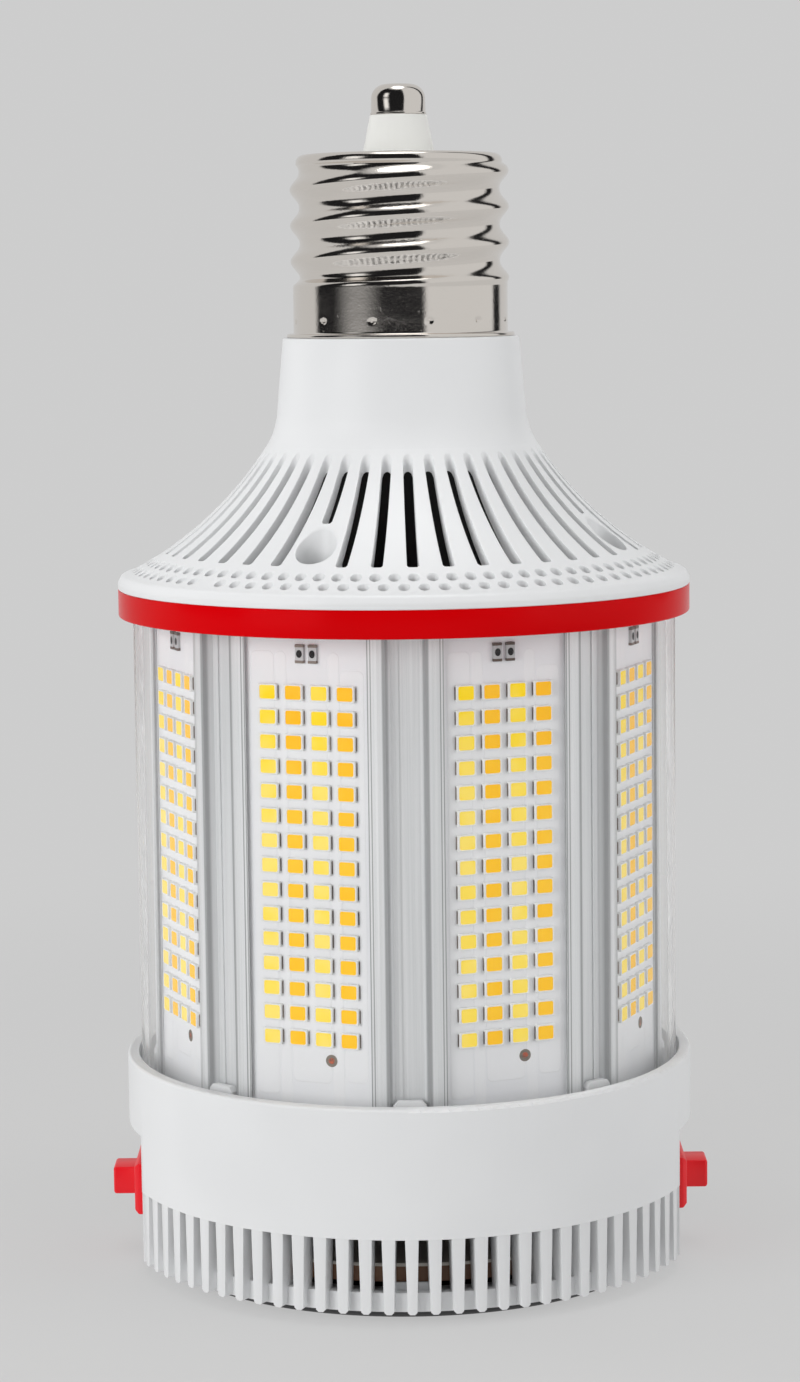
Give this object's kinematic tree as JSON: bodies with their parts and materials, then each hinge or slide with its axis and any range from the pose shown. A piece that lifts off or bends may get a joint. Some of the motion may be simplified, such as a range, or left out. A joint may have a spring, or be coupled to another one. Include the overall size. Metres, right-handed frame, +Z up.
{
  "type": "led retrofit lamp",
  "caption": "Base-up retrofit lamp with a screw base, slotted white housing, red trim ring, clear cover over board-faced extrusion, vented lower cap and two red slide selectors.",
  "frame": {"origin": "middle of the surface that the lamp stands on, on the lamp's axis", "axes": "+Z up the lamp's axis to the screw base, -Y the front, +X towards the power selector"},
  "size_m": [0.1094, 0.1032, 0.2124],
  "materials": {
    "white_plastic": "moulded white plastic, satin gloss",
    "insulator_white": "moulded white insulator, satin",
    "nickel_plate": "bright nickel plate",
    "red_plastic": "moulded red plastic, glossy",
    "clear_plastic": "clear extruded plastic",
    "extruded_aluminium": "clear anodised extrusion",
    "board_white": "white solder mask on a metal core",
    "cool_phosphor": "yellow silicone phosphor in a white frame",
    "warm_phosphor": "orange silicone phosphor in a white frame",
    "link_black": "black chip glaze with tinned ends",
    "screw_steel": "zinc plated",
    "plate_dark": "dark grey moulded plastic",
    "circuit_board": "paper laminate",
    "switch_black": "black moulded plastic",
    "sleeve_film": "black insulating film",
    "can_sleeve": "shrink sleeve on an aluminium can",
    "winding_tape": "polyester tape",
    "core_green": "coated ring core",
    "film_box": "moulded box",
    "fuse_body": "moulded body",
    "lead_insulation": "insulated lead"
  },
  "bodies": {
    "lamp": {"neck_housing": "white_plastic", "bottom_cap": "white_plastic", "contact_insulator": "insulator_white", "center_contact": "nickel_plate", "screw_shell": "nickel_plate", "trim_ring": "red_plastic", "clear_cover": "clear_plastic", "heat_sink": "extruded_aluminium", "led_board_1": "board_white", "led_board_2": "board_white", "led_board_3": "board_white", "led_board_4": "board_white", "led_board_5": "board_white", "led_board_6": "board_white", "led_board_7": "board_white", "led_board_8": "board_white", "cool_leds_1": "cool_phosphor", "cool_leds_2": "cool_phosphor", "cool_leds_3": "cool_phosphor", "cool_leds_4": "cool_phosphor", "cool_leds_5": "cool_phosphor", "cool_leds_6": "cool_phosphor", "cool_leds_7": "cool_phosphor", "cool_leds_8": "cool_phosphor", "warm_leds_1": "warm_phosphor", "warm_leds_2": "warm_phosphor", "warm_leds_3": "warm_phosphor", "warm_leds_4": "warm_phosphor", "warm_leds_5": "warm_phosphor", "warm_leds_6": "warm_phosphor", "warm_leds_7": "warm_phosphor", "warm_leds_8": "warm_phosphor", "link_resistors": "link_black", "housing_screws": "screw_steel", "cap_screws": "screw_steel", "end_plate": "plate_dark", "control_board": "circuit_board", "driver_board": "circuit_board", "power_switch": "switch_black", "color_switch": "switch_black", "driver_sleeve": "sleeve_film", "bulk_capacitors": "can_sleeve", "transformer": "winding_tape", "input_choke": "core_green", "film_capacitor": "film_box", "input_fuse": "fuse_body", "base_leads": "lead_insulation"},
    "power": {"power_knob": "red_plastic", "power_lever": "switch_black"},
    "color": {"color_knob": "red_plastic", "color_lever": "switch_black"}
  },
  "joints": [
    {"name": "power_slide", "type": "slide", "parent": "lamp", "child": "power", "axis": [0, 1, 0], "range_m": [-0.0025, 0.0025]},
    {"name": "color_slide", "type": "slide", "parent": "lamp", "child": "color", "axis": [0, 1, 0], "range_m": [-0.0025, 0.0025]}
  ]
}
